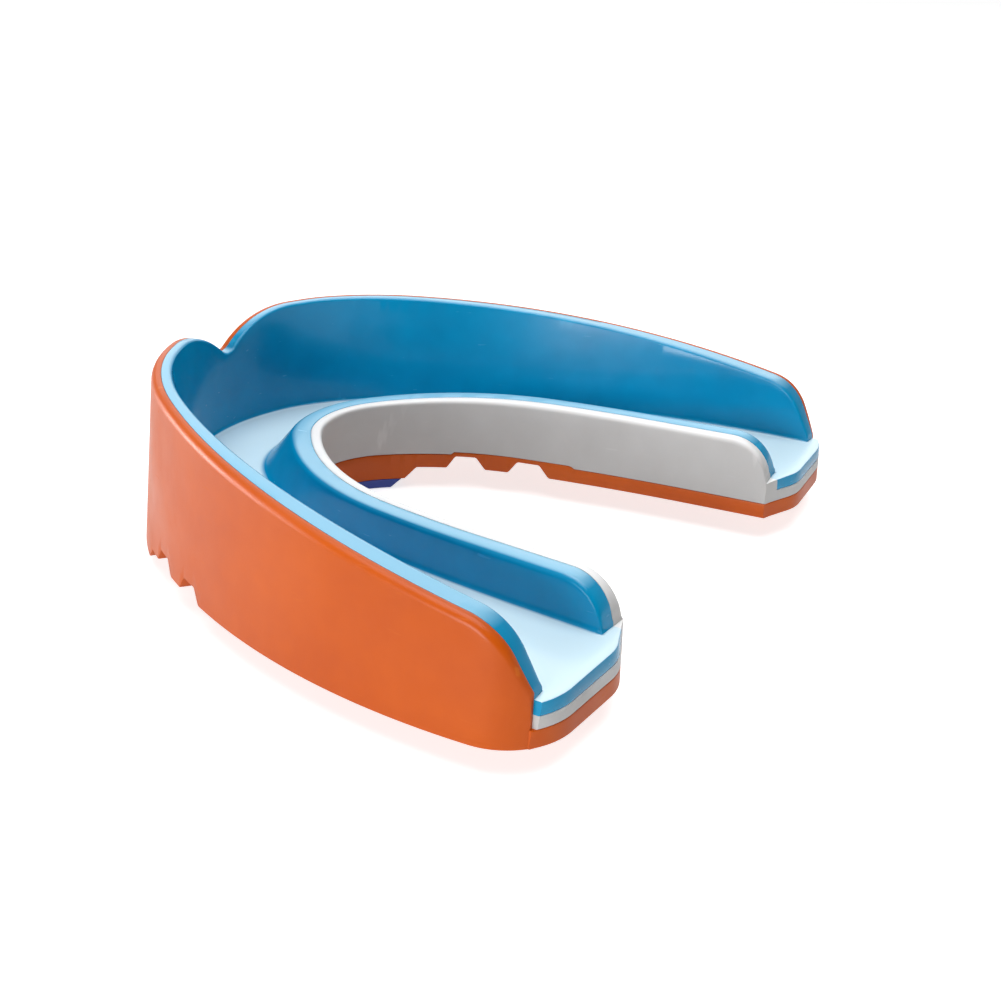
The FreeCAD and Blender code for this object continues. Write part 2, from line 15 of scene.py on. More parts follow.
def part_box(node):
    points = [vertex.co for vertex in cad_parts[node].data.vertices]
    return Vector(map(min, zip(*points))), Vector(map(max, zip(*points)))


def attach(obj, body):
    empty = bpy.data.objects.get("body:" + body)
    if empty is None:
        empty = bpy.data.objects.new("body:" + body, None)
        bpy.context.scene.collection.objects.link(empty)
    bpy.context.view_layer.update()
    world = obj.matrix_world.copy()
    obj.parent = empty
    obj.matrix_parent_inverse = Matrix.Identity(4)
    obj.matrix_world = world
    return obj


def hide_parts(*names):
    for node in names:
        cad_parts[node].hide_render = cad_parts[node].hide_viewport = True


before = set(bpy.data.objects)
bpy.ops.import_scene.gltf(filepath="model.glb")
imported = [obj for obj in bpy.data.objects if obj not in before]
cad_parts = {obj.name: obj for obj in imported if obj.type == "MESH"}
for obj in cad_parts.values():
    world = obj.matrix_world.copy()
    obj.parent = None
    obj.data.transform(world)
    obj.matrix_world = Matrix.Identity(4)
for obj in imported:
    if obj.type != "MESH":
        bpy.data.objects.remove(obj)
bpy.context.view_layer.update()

# ---------------------------------------------------------------- sizes, in millimetres
MM = 0.001

FLOOR_1 = 1.46          # top of the shell's floor
FLOOR_2 = 2.5           # top of the frame's floor
FLOOR_3 = 3.6           # top of the liner's floor
INNER_TOP = 7.38        # crest of the tongue-side wall
OUTER_TOP = 14.65       # crest of the outer wall at the front
RIM = 0.84              # the shell's share of the outer wall
LINING = 0.855          # the liner's share of the outer wall at its crest
LEAN = 1.685 / OUTER_TOP  # inward lean of the outer wall, per unit of height
WALL_END = 53.9         # where both walls stop

FRAME_FOOT = 1.6
FRAME_CREST = 1.1
LINING_CREST = 1.69

CREST_PEAK = 15.216     # side view of the outer wall's crest
CREST_LEAD = 13.95      # how far its peak lies ahead of the front face
CREST_RADIUS = 339.3
CREST_SWEEP = math.radians(10.68)
CREST_CORNER = 5.0
END_SLOPE = math.radians(63.0)

NOTCH_LOW = 11.38       # front view of the lip notch
NOTCH_RADIUS = 1.28
NOTCH_SLOPE = math.radians(42.4)
LOBE_RADIUS = 10.7

HEEL_RADIUS = 5.661
RIM_HEEL_RADIUS = 7.7   # the shell's inner face turns in more gently at the heel
HEEL_SWEEP = math.radians(83.5)
HEEL_LENGTH = 5.464
TAIL_RADIUS = 4.533
TAIL_SWEEP = math.radians(27.6)
TAIL_RUN = 6.0          # straight run past the corner on the tongue side

STEP_DEPTH = 1.2        # underside
PAD_DEPTH = 1.0
PAD_INSET = 2.8
PAD_SETBACK = 2.0
STEP_LINE = ((8.2, 19.65), (20.0, 10.5))
GROOVE_DEPTH = 1.25
GROOVE_MOUTH = 1.85     # half widths
GROOVE_ROOF = 1.0
GROOVE_ANGLE = math.radians(41.0)
GROOVE_STARTS = ((7.94, 26.27), (9.84, 32.37))
RIDGE = 0.25            # how far the shell rises over the frame above the grooves
RIDGE_SPAN = (22.9, 34.9)

RIM_ROUND = 0.66        # rounding of the outer wall's crest, shell side
RIM_DROP = 0.28         # how far the crest falls towards the teeth
FRAME_ROUND = 0.55      # rounding of the tongue-side wall's crest, frame side
LINING_ROUND = 0.5      # the same, liner side
LIP_FILLET = 0.4        # where the liner's floor meets the outer wall
GUM_FILLET = 0.5        # where it meets the tongue-side wall
PAD_ROUND = 0.35
EDGE = 0.12             # small roundings
LEAST_WALL = 0.4        # lowest height of the tongue-side wall above the floor

SPACING = 0.5           # between cross-sections along the outer face
FRONT_SPACING = 0.14    # the same across the notch
FRONT_SPAN = 9.5
END_SPACING = 0.12      # the same where the walls come down
END_SPAN = 5.5
END_CLEAR = 0.025       # keeps the cross-sections of an end face apart
END_SWELLS = (0.02, 0.3, 0.65, 1.0)  # steps from the last straight cross-section to the back edge
FLOOR_POINTS = 26       # across the floor in a cross-section
PAD_LEAST = 0.02        # the pad's cross-sections are at least this deep
WELD = 0.002            # points closer than this become one
SHARP = math.radians(40.0)

front_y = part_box("outer_shell")[0].y / MM
underside_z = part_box("inner_frame")[0].z / MM - FLOOR_1


def place(x, y, z):
    """A working point, in millimetres, as a point of the frame, in metres."""
    return (x * MM, (y + front_y) * MM, (z + underside_z) * MM)


# ---------------------------------------------------------------- plan curves
class PlanCurve:
    """Tangent arcs from the centre line, then a straight run; measured by arc length."""

    def __init__(self, start, arcs):
        self.pieces = []
        place_now = np.array([0.0, start])
        heading = 0.0
        length = 0.0
        for radius, degrees in arcs:
            sweep = math.radians(degrees)
            self.pieces.append((length, place_now, heading, radius))
            centre = place_now + radius * np.array([-math.sin(heading), math.cos(heading)])
            heading += sweep
            place_now = centre + radius * np.array([math.sin(heading), -math.cos(heading)])
            length += radius * sweep
        self.pieces.append((length, place_now, heading, None))
        self.arc_length = length

    def at(self, distance):
        """The point at an arc length, and the unit normal towards the arcs' centres."""
        start, origin, heading, radius = [p for p in self.pieces if p[0] <= distance + 1e-9][-1]
        run = distance - start
        if radius is None:
            along = np.array([math.cos(heading), math.sin(heading)])
            return origin + along * run, np.array([-along[1], along[0]])
        turned = heading + run / radius
        centre = origin + radius * np.array([-math.sin(heading), math.cos(heading)])
        normal = np.array([-math.sin(turned), math.cos(turned)])
        return centre - normal * radius, normal

    def find(self, side_of):
        """The arc length where side_of(point) turns from negative to positive."""
        low, high = 0.0, self.arc_length + 60.0
        for _ in range(60):
            middle = (low + high) / 2
            if side_of(self.at(middle)[0]) < 0:
                low = middle
            else:
                high = middle
        return (low + high) / 2


# Each curve has its place on the centre line, then its arcs as (radius, degrees).  In turn: the outer
# face, the floor's tongue-side edge, the seam in the tongue-side crest, and the feet of the liner's
# two walls.
OUTER = PlanCurve(0.0, ((23.905, 43.9), (28.867, 13.1), (63.927, 36.1)))
TONGUE = PlanCurve(14.39, ((7.68, 48.62), (27.02, 30.11), (159.49, 6.14)))
CREST = PlanCurve(15.14, ((7.82, 36.23), (23.69, 42.99), (91.61, 6.09)))
LIP_FOOT = PlanCurve(2.854, ((16.476, 37.9), (18.288, 17.6), (75.484, 37.5)))
GUM_FOOT = PlanCurve(10.1, ((10.8, 48.79), (28.79, 29.62), (168.71, 6.66)))


def depth_of(curve, origin, normal):
    """How far along a normal from its origin another plan curve is crossed."""
    along = np.array([normal[1], -normal[0]])
    where = curve.find(lambda point: float(np.dot(point - origin, along)))
    return float(np.dot(curve.at(where)[0] - origin, normal))


def arc_points(start, heading, radius, sweep, count):
    """Points along an arc that leaves a start at a heading and turns left."""
    centre = start + radius * np.array([-math.sin(heading), math.cos(heading)])
    angles = np.linspace(heading, heading + sweep, count)
    return [centre + radius * np.array([math.sin(angle), -math.cos(angle)]) for angle in angles]


def rear_outline():
    """The floor's back edge, from the heel of an arm to past the corner on the tongue side."""
    start, normal = OUTER.at(OUTER.arc_length)
    heading = math.atan2(-normal[0], normal[1])
    points = arc_points(start, heading, HEEL_RADIUS, HEEL_SWEEP, 40)
    heading += HEEL_SWEEP
    start = points[-1] + HEEL_LENGTH * np.array([math.cos(heading), math.sin(heading)])
    points += arc_points(start, heading, TAIL_RADIUS, TAIL_SWEEP, 20)
    heading += TAIL_SWEEP
    points.append(points[-1] + TAIL_RUN * np.array([math.cos(heading), math.sin(heading)]))
    return np.array(points)


REAR = rear_outline()
REAR_X = REAR[::-1, 0]
REAR_Y = REAR[::-1, 1]


def rear_y(x):
    """How far back the floor reaches at a place across the mouth."""
    return float(np.interp(x, REAR_X, REAR_Y))


# ---------------------------------------------------------------- heights
def crest_height(y):
    """Side view of the outer wall's crest: a long arc, a rounded corner, a steep fall."""
    centre_z = CREST_PEAK - CREST_RADIUS
    end_y = CREST_RADIUS * math.sin(CREST_SWEEP) - CREST_LEAD
    if y <= end_y:
        return centre_z + math.sqrt(CREST_RADIUS ** 2 - (y + CREST_LEAD) ** 2)
    corner_y = end_y - CREST_CORNER * math.sin(CREST_SWEEP)
    corner_z = centre_z + (CREST_RADIUS - CREST_CORNER) * math.cos(CREST_SWEEP)
    last_y = corner_y + CREST_CORNER * math.sin(END_SLOPE)
    if y <= last_y:
        return corner_z + math.sqrt(CREST_CORNER ** 2 - (y - corner_y) ** 2)
    return corner_z + CREST_CORNER * math.cos(END_SLOPE) - math.tan(END_SLOPE) * (y - last_y)


def notch_height(x):
    """Front view of the lip notch: a rounded dip, a slope and a rounded lobe."""
    x = abs(x)
    dip_x = NOTCH_RADIUS * math.sin(NOTCH_SLOPE)
    if x <= dip_x:
        return NOTCH_LOW + NOTCH_RADIUS - math.sqrt(NOTCH_RADIUS ** 2 - x ** 2)
    dip_z = NOTCH_LOW + NOTCH_RADIUS * (1 - math.cos(NOTCH_SLOPE))
    lobe_z = OUTER_TOP - LOBE_RADIUS * (1 - math.cos(NOTCH_SLOPE))
    lobe_x = dip_x + (lobe_z - dip_z) / math.tan(NOTCH_SLOPE)
    if x <= lobe_x:
        return dip_z + (x - dip_x) * math.tan(NOTCH_SLOPE)
    top_x = lobe_x + LOBE_RADIUS * math.sin(NOTCH_SLOPE)
    if x >= top_x:
        return OUTER_TOP
    return OUTER_TOP - LOBE_RADIUS + math.sqrt(LOBE_RADIUS ** 2 - (top_x - x) ** 2)


def inner_wall_height(y, last_y):
    """Side view of the tongue-side wall: level, then rounded down to the floor."""
    radius = INNER_TOP - FLOOR_3
    past = y - (last_y - radius)
    if past <= 0:
        return INNER_TOP
    return FLOOR_3 + math.sqrt(max(radius ** 2 - past ** 2, 0.0))


# ---------------------------------------------------------------- cross-section stations
class Station:
    """One cross-section: its places on the plan curves and what happens at it."""

    def __init__(self, outer, tongue, low=0.0, pad_low=None, swell=0.0, inset=0.0, pull=0.0):
        self.outer = outer      # arc lengths along the two plan curves
        self.tongue = tongue
        self.low = low          # heights of the underside and of the pad's underside
        self.pad_low = pad_low
        self.swell = swell      # share of the way from the straight line to the back edge
        self.inset = inset      # roundings of the back edge
        self.pull = pull


def line_side(origin, direction):
    """Signed distance behind a slanting line in plan."""
    normal = np.array([-direction[1], direction[0]])
    return lambda point: float(np.dot(point - origin, normal))


def features():
    """The slanting features of the underside: a line and its corners as (distance, height)."""
    inner, outer = np.array(STEP_LINE[0]), np.array(STEP_LINE[1])
    slant = (outer - inner) / np.linalg.norm(outer - inner)
    yield "pad", inner - np.array([0, PAD_SETBACK]), slant, ((-PAD_DEPTH, -STEP_DEPTH - PAD_DEPTH),
                                                             (0.0, -STEP_DEPTH))
    yield "low", inner, slant, ((-STEP_DEPTH, -STEP_DEPTH), (0.0, 0.0))
    slant = np.array([math.cos(GROOVE_ANGLE), -math.sin(GROOVE_ANGLE)])
    for start in GROOVE_STARTS:
        yield "low", np.array(start), slant, ((-GROOVE_MOUTH, 0.0), (-GROOVE_ROOF, GROOVE_DEPTH),
                                              (GROOVE_ROOF, GROOVE_DEPTH), (GROOVE_MOUTH, 0.0))


def softened(corners, distance):
    """Height of a stepped profile at a distance, with its corners slightly eased."""
    places, heights = zip(*corners)
    near = [float(np.interp(distance + shift, places, heights)) for shift in (-EDGE, 0.0, EDGE)]
    return (near[0] + 2 * near[1] + near[2]) / 4


def key_stations():
    """Stations at every corner of the underside's features, with an eased corner at each."""
    keys = [Station(0.0, 0.0, low=-STEP_DEPTH, pad_low=-STEP_DEPTH - PAD_DEPTH)]
    for kind, origin, slant, corners in features():
        for corner in corners:
            for shift in (-EDGE, 0.0, EDGE):
                distance = corner[0] + shift
                normal = np.array([-slant[1], slant[0]])
                side = line_side(origin + normal * distance, slant)
                height = softened(corners, distance)
                key = Station(OUTER.find(side), TONGUE.find(side))
                if kind == "pad":
                    key.low = -STEP_DEPTH
                    key.pad_low = height
                else:
                    key.low = height
                keys.append(key)
    return keys


def reaching(curve, y):
    """The arc length where a plan curve reaches a place along the arms."""
    return curve.find(lambda point: point[1] - y)


def fill(first, second, spacing):
    """Evenly spaced stations between two, leaving out the second."""
    steps = max(1, math.ceil((second.outer - first.outer) / spacing))
    found = [first]
    for step in range(1, steps):
        share = step / steps
        middle = Station(first.outer + share * (second.outer - first.outer),
                         first.tongue + share * (second.tongue - first.tongue))
        middle.low = first.low + share * (second.low - first.low)
        if first.pad_low is not None and second.pad_low is not None:
            middle.pad_low = first.pad_low + share * (second.pad_low - first.pad_low)
        found.append(middle)
    return found


def make_stations():
    """All cross-sections of the right-hand half, from the centre line to the back edge."""
    keys = key_stations()
    share = FRONT_SPAN / keys[1].outer
    keys.insert(1, Station(FRONT_SPAN, share * keys[1].tongue, low=keys[0].low, pad_low=keys[0].pad_low))
    fine = WALL_END - END_SPAN
    keys.append(Station(reaching(OUTER, fine), reaching(TONGUE, fine)))
    keys.append(Station(END_OUTER, END_TONGUE))
    stations = []
    for first, second in zip(keys, keys[1:]):
        spacing = SPACING
        if first is keys[0]:
            spacing = FRONT_SPACING
        elif second is keys[-1]:
            spacing = END_SPACING
        stations.extend(fill(first, second, spacing))
    stations.append(keys[-1])
    for swell in END_SWELLS:
        stations.append(Station(END_OUTER, END_TONGUE, swell=swell))
    stations[-1].inset = EDGE
    for inset, pull in ((0.3 * EDGE, 0.3 * EDGE), (0.0, EDGE)):
        stations.append(Station(END_OUTER, END_TONGUE, swell=1.0, inset=inset, pull=pull))
    return stations


# the last straight cross-section, from the end of the outer wall to the rear corner
END_OUTER = reaching(OUTER, WALL_END)
END_TONGUE = TONGUE.find(lambda point: point[1] - rear_y(point[0]))
STATIONS = make_stations()


def turn_in(station, radius):
    """How far a face that turns in with a radius at the heel has left the straight side wall."""
    past = OUTER.at(station.outer)[0][1] - OUTER.at(OUTER.arc_length)[0][1]
    if past <= 0:
        return 0.0
    return radius - math.sqrt(radius ** 2 - past ** 2)


LAST_FACE, LAST_NORMAL = OUTER.at(END_OUTER)
LAST_LINE = (LAST_FACE + LAST_NORMAL * turn_in(STATIONS[-1], HEEL_RADIUS), TONGUE.at(END_TONGUE)[0])


def ridge(station):
    """Extra height of the seam on the tongue side, above the grooves."""
    y = TONGUE.at(station.tongue)[0][1]
    return RIDGE * min(1.0, max(0.0, min(y - RIDGE_SPAN[0], RIDGE_SPAN[1] - y) / EDGE))


def outer_wall_height(station):
    """Height of the outer wall's crest at a cross-section."""
    point, normal = OUTER.at(station.outer)
    middle = point + normal * (RIM + LEAN * OUTER_TOP)
    return min(crest_height(middle[1]), notch_height(middle[0]), OUTER_TOP)


class Profile:
    """Collects the points of one cross-section and turns them into frame points.

    A layer's cross-sections all have the same number of points, so that they join into a mesh.
    """

    def __init__(self, station):
        self.station = station
        self.outer, self.outer_normal = OUTER.at(station.outer)
        self.tongue, self.tongue_normal = TONGUE.at(station.tongue)
        self.face = turn_in(station, HEEL_RADIUS)
        self.seam = RIM + turn_in(station, RIM_HEEL_RADIUS)
        self.lip_depth = depth_of(LIP_FOOT, self.outer, self.outer_normal)
        self.crest_depth = -depth_of(CREST, self.tongue, self.tongue_normal)
        self.gum_depth = -depth_of(GUM_FOOT, self.tongue, self.tongue_normal)
        self.points = []

    def from_outer(self, depth, z):
        """A point a distance in from the outer face."""
        plan = self.outer + self.outer_normal * (depth + LEAN * z)
        self.points.append((plan[0], plan[1], z))

    def from_tongue(self, depth, z):
        """A point a distance from the floor's tongue-side edge towards the teeth."""
        plan = self.tongue - self.tongue_normal * depth
        self.points.append((plan[0], plan[1], z))

    def on_lip(self, z, shift=0.0):
        """A point on the liner's face of the outer wall, thicker at its foot."""
        top = LEAN * OUTER_TOP + RIM + LINING
        rise = (z - FLOOR_3) / (OUTER_TOP - FLOOR_3)
        depth = self.lip_depth + (top - self.lip_depth) * rise
        self.from_outer(depth - LEAN * z + shift, z)

    def on_tongue_face(self, z, shift=0.0):
        """A point on the frame's face of the tongue-side wall."""
        rise = max(0.0, (z - FLOOR_1) / (INNER_TOP - FLOOR_1))
        self.from_tongue((self.crest_depth - FRAME_CREST) * rise + shift, z)

    def on_seam(self, z, shift=0.0):
        """A point between frame and liner in the tongue-side wall."""
        rise = (z - FLOOR_1) / (INNER_TOP - FLOOR_1)
        self.from_tongue(FRAME_FOOT + (self.crest_depth - FRAME_FOOT) * rise + shift, z)

    def on_gum_face(self, z, shift=0.0):
        """A point on the liner's face of the tongue-side wall."""
        rise = (z - FLOOR_3) / (INNER_TOP - FLOOR_3)
        top = self.crest_depth + LINING_CREST
        self.from_tongue(self.gum_depth + (top - self.gum_depth) * rise + shift, z)

    def bridge(self, count, add_last):
        """Points on a straight line from the last one to the one that add_last makes."""
        first = np.array(self.points[-1])
        add_last()
        last = np.array(self.points.pop())
        for step in range(1, count):
            self.points.append(tuple(first + (last - first) * step / count))
        self.points.append(tuple(last))

    def finished(self):
        """The points with the back edge's swell applied."""
        station = self.station
        if station.swell == 0:
            return [place(*point) for point in self.points]
        heights = [point[2] for point in self.points]
        low, high = min(heights), max(heights)
        start, end = LAST_LINE[1], LAST_LINE[0]
        placed = []
        for x, y, z in self.points:
            straight = np.interp(x, (start[0], end[0]), (start[1], end[1]))
            room = max(0.0, rear_y(x) - straight)
            full = min(1.0, room / (5 * EDGE))
            eased = station.inset * (0.1 + 0.9 * full)
            shifted = y + END_CLEAR + station.swell * (END_CLEAR + room) - eased
            placed.append(place(x, shifted, min(max(z, low + station.pull), high - station.pull)))
        return placed


def quarter(steps):
    """Angles of a quarter turn, ends included."""
    return [math.pi / 2 * step / steps for step in range(steps + 1)]


def shell_profile(station):
    """The outer wall's coloured layer, the floor's bottom and the underside."""
    profile = Profile(station)
    face, seam_depth = profile.face, profile.seam
    width = seam_depth - face
    top = FLOOR_1 if station.swell > 0 else outer_wall_height(station)
    low = station.low
    small = min(EDGE, 0.3 * width)
    for angle in quarter(2):
        profile.from_outer(face + small * (1 - math.sin(angle)), low + small * (1 - math.cos(angle)))
    rounding = min(RIM_ROUND, 0.7 * width)
    rise = min(RIM_ROUND, 0.5 * (top - FLOOR_1)) if top > FLOOR_1 else 0.0
    wall_low = low + small
    wall_high = top - rise
    for step in range(1, 9):
        profile.from_outer(face, wall_low + (wall_high - wall_low) * step / 9)
    for angle in quarter(6):
        profile.from_outer(face + rounding * (1 - math.cos(angle)), top - rise * (1 - math.sin(angle)))
    small_rise = min(0.5 * EDGE, 0.4 * (top - FLOOR_1))
    for angle in quarter(2):
        profile.from_outer(seam_depth - 0.5 * small * (1 - math.sin(angle)),
                           top - small_rise * (1 - math.cos(angle)))
    for step in range(1, 4):
        profile.from_outer(seam_depth, top - small_rise + (FLOOR_1 - top + small_rise) * step / 3)
    seam = FLOOR_1 + ridge(station)
    profile.bridge(FLOOR_POINTS, lambda: profile.from_tongue(EDGE, seam))
    profile.from_tongue(0.3 * EDGE, seam - 0.3 * EDGE)
    profile.from_tongue(0.0, seam - EDGE)
    profile.from_tongue(0.0, low + EDGE)
    profile.from_tongue(0.3 * EDGE, low + 0.3 * EDGE)
    profile.from_tongue(EDGE, low)
    profile.bridge(FLOOR_POINTS, lambda: profile.from_outer(face + small, low))
    profile.points.pop()
    return profile.finished()


def frame_profile(station):
    """The white layer: a sheet in the floor and the tongue-side wall's face."""
    profile = Profile(station)
    past = station.swell > 0
    y = TONGUE.at(station.tongue)[0][1]
    top = FLOOR_3 if past else max(inner_wall_height(y, WALL_END), FLOOR_3 + LEAST_WALL)
    reach = 0.0 if past else 1.0
    seam = FLOOR_1 + ridge(station)
    profile.from_outer(profile.seam, FLOOR_1)
    profile.from_outer(profile.seam, FLOOR_2)
    profile.bridge(FLOOR_POINTS, lambda: profile.on_seam(FLOOR_2))
    height = top - FLOOR_2
    small = min(EDGE, 0.3 * height)
    for step in range(1, 6):
        profile.on_seam(FLOOR_2 + (height - small) * step / 5)
    big = min(FRAME_ROUND, 0.4 * height)
    profile.on_seam(top - 0.3 * small, -0.3 * small * reach)
    profile.on_seam(top, -small * reach)
    for angle in quarter(6):
        profile.on_tongue_face(top - big * (1 - math.cos(angle)), big * (1 - math.sin(angle)) * reach)
    wall_low = seam + EDGE
    for step in range(1, 7):
        profile.on_tongue_face(top - big + (wall_low - top + big) * step / 6)
    profile.from_tongue(0.3 * EDGE, seam + 0.3 * EDGE)
    profile.from_tongue(EDGE, seam)
    profile.bridge(FLOOR_POINTS, lambda: profile.from_outer(profile.seam, FLOOR_1))
    profile.points.pop()
    return profile.finished()


def liner_profile(station):
    """The blue layer: both linings and the top of the floor."""
    profile = Profile(station)
    past = station.swell > 0
    y = TONGUE.at(station.tongue)[0][1]
    outer_top = FLOOR_3 if past else max(FLOOR_3, outer_wall_height(station))
    inner_top = FLOOR_3 if past else max(inner_wall_height(y, WALL_END), FLOOR_3 + LEAST_WALL)
    height = outer_top - FLOOR_3
    small = min(0.5 * EDGE, 0.2 * height)
    round_drop = min(RIM_DROP, 0.3 * height)
    fillet = min(LIP_FILLET, 0.3 * height)
    for step in range(6):
        profile.from_outer(profile.seam, FLOOR_2 + (outer_top - small - FLOOR_2) * step / 6)
    for angle in quarter(2):
        profile.from_outer(profile.seam + small * (1 - math.cos(angle)),
                           outer_top - small * (1 - math.sin(angle)))
    for angle in quarter(6):
        profile.on_lip(outer_top - round_drop * (1 - math.cos(angle)),
                       -0.5 * LINING * (1 - math.sin(angle)))
    span = height - round_drop - fillet
    for step in range(1, 7):
        profile.on_lip(outer_top - round_drop - span * step / 7)
    for angle in quarter(4):
        profile.on_lip(FLOOR_3 + fillet * (1 - math.sin(angle)), fillet * (1 - math.cos(angle)))
    height = inner_top - FLOOR_3
    small = min(EDGE, 0.2 * height)
    big = min(LINING_ROUND, 0.4 * height)
    fillet = min(GUM_FILLET, 0.3 * height)
    profile.bridge(FLOOR_POINTS, lambda: profile.on_gum_face(FLOOR_3, fillet))
    for angle in quarter(4)[1:]:
        profile.on_gum_face(FLOOR_3 + fillet * (1 - math.cos(angle)), fillet * (1 - math.sin(angle)))
    for step in range(1, 6):
        profile.on_gum_face(FLOOR_3 + fillet + (height - big - fillet) * step / 5)
    for angle in quarter(6)[1:]:
        profile.on_gum_face(inner_top - big * (1 - math.sin(angle)), -big * (1 - math.cos(angle)))
    profile.on_seam(inner_top, small)
    profile.on_seam(inner_top - 0.3 * small, 0.3 * small)
    profile.on_seam(inner_top - small)
    for step in range(1, 6):
        profile.on_seam(inner_top - small + (FLOOR_2 - inner_top + small) * step / 5)
    profile.bridge(FLOOR_POINTS, lambda: profile.from_outer(profile.seam, FLOOR_2))
    profile.points.pop()
    return profile.finished()


def pad_profile(station):
    """The pad under the front step."""
    profile = Profile(station)
    low = station.pad_low
    high = -STEP_DEPTH
    rounding = min(PAD_ROUND, 0.45 * (high - low))
    profile.from_outer(PAD_INSET, high)
    profile.bridge(FLOOR_POINTS, lambda: profile.from_tongue(0.0, high))
    for angle in quarter(4):
        profile.from_tongue(rounding * (1 - math.cos(angle)), low + rounding * (1 - math.sin(angle)))
    profile.bridge(FLOOR_POINTS, lambda: profile.from_outer(PAD_INSET + rounding, low))
    for angle in quarter(4)[1:]:
        profile.from_outer(PAD_INSET + rounding * (1 - math.sin(angle)),
                           low + rounding * (1 - math.cos(angle)))
    return profile.finished()


# ---------------------------------------------------------------- meshes
def mirrored(loop):
    """A cross-section of the other half."""
    return [(-x, y, z) for x, y, z in loop]


def close_end(mesh, row):
    """Fills an end with a strip of triangles between its upper and lower edges."""
    across = [abs(vert.co.x) for vert in row]
    count = len(row)
    start, end = across.index(min(across)), across.index(max(across))
    forward = [row[(start + step) % count] for step in range((end - start) % count + 1)]
    backward = [row[(start - step) % count] for step in range((start - end) % count + 1)]
    while len(forward) > 1 or len(backward) > 1:
        longer = forward
        if len(forward) == 1 or (len(backward) > 1 and abs(backward[1].co.x) < abs(forward[1].co.x)):
            longer = backward
        corners = (forward[0], longer[1], backward[0])
        if len(set(corners)) == 3:
            mesh.faces.new(corners)
        longer.pop(0)


def sweep(name, stations, profile_of, material):
    """A closed mesh through the cross-sections of both halves."""
    half = [profile_of(station) for station in stations]
    loops = [mirrored(loop) for loop in reversed(half[1:])] + half
    mesh = bmesh.new()
    rows = [[mesh.verts.new(point) for point in loop] for loop in loops]
    count = len(rows[0])
    for first, second in zip(rows, rows[1:]):
        for index in range(count):
            after = (index + 1) % count
            mesh.faces.new((first[index], first[after], second[after], second[index]))
    close_end(mesh, rows[0])
    close_end(mesh, rows[-1])
    bmesh.ops.remove_doubles(mesh, verts=mesh.verts, dist=WELD * MM)
    bmesh.ops.dissolve_degenerate(mesh, edges=mesh.edges, dist=WELD * MM)
    bmesh.ops.triangulate(mesh, faces=[face for face in mesh.faces if len(face.verts) > 4])
    bmesh.ops.recalc_face_normals(mesh, faces=mesh.faces)
    data = bpy.data.meshes.new(name)
    mesh.to_mesh(data)
    mesh.free()
    for polygon in data.polygons:
        polygon.use_smooth = True
    data.set_sharp_from_angle(angle=SHARP)
    piece = bpy.data.objects.new(name, data)
    bpy.context.scene.collection.objects.link(piece)
    weighted = piece.modifiers.new("weighted_normals", "WEIGHTED_NORMAL")
    weighted.keep_sharp = True
    data.materials.append(material)
    return piece


class Nodes:
    """A small helper for building one material's node tree."""

    def __init__(self, name):
        self.material = bpy.data.materials.new(name)
        self.material.use_nodes = True
        self.tree = self.material.node_tree
        self.shader = self.tree.nodes["Principled BSDF"]
        self.coordinates = self.tree.nodes.new("ShaderNodeTexCoord").outputs["Object"]

    def link(self, output, socket):
        self.tree.links.new(output, socket)

    def noise(self, scale, detail, stretch=(1, 1, 1)):
        """Noise in the piece's own coordinates; scale is in features per metre."""
        mapping = self.tree.nodes.new("ShaderNodeMapping")
        mapping.inputs["Scale"].default_value = stretch
        self.link(self.coordinates, mapping.inputs["Vector"])
        texture = self.tree.nodes.new("ShaderNodeTexNoise")
        texture.inputs["Scale"].default_value = scale
        texture.inputs["Detail"].default_value = detail
        self.link(mapping.outputs["Vector"], texture.inputs["Vector"])
        return texture.outputs["Fac"]

    def remap(self, value, span, result):
        """Stretches a span of values onto another."""
        node = self.tree.nodes.new("ShaderNodeMapRange")
        for socket, number in zip(node.inputs[1:5], span + result):
            socket.default_value = number
        self.link(value, node.inputs["Value"])
        return node.outputs["Result"]

    def math(self, operation, first, second):
        """Adds or multiplies two values, each a number or another node's output."""
        node = self.tree.nodes.new("ShaderNodeMath")
        node.operation = operation
        for socket, value in zip(node.inputs, (first, second)):
            if isinstance(value, (int, float)):
                socket.default_value = value
            else:
                self.link(value, socket)
        return node.outputs["Value"]

    def blend(self, share, first, second):
        """Mixes two colours, each a tuple or another node's output."""
        node = self.tree.nodes.new("ShaderNodeMix")
        node.data_type = "RGBA"
        self.link(share, node.inputs["Factor"])
        for socket, colour in ((node.inputs[6], first), (node.inputs[7], second)):
            if isinstance(colour, tuple):
                socket.default_value = (*colour, 1)
            else:
                self.link(colour, socket)
        return node.outputs[2]

    def bump(self, height, distance, strength, under=None):
        """A bump from a height, laid over another bump if one is given."""
        node = self.tree.nodes.new("ShaderNodeBump")
        node.inputs["Strength"].default_value = strength
        node.inputs["Distance"].default_value = distance
        self.link(height, node.inputs["Height"])
        if under:
            self.link(under, node.inputs["Normal"])
        return node.outputs["Normal"]

    def facing_up(self, span, most):
        """A share that grows as the surface turns to look up."""
        axes = self.tree.nodes.new("ShaderNodeSeparateXYZ")
        self.link(self.tree.nodes.new("ShaderNodeNewGeometry").outputs["Normal"], axes.inputs["Vector"])
        return self.remap(axes.outputs["Z"], span, (0.0, most))

    def recolour(self, share, colour):
        """Blends another colour over the base colour."""
        base = self.shader.inputs["Base Color"]
        self.link(self.blend(share, base.links[0].from_socket, colour), base)

    def pointiness(self):
        """How convex the surface is: about a half where it is flat, and more at edges."""
        return self.tree.nodes.new("ShaderNodeNewGeometry").outputs["Pointiness"]


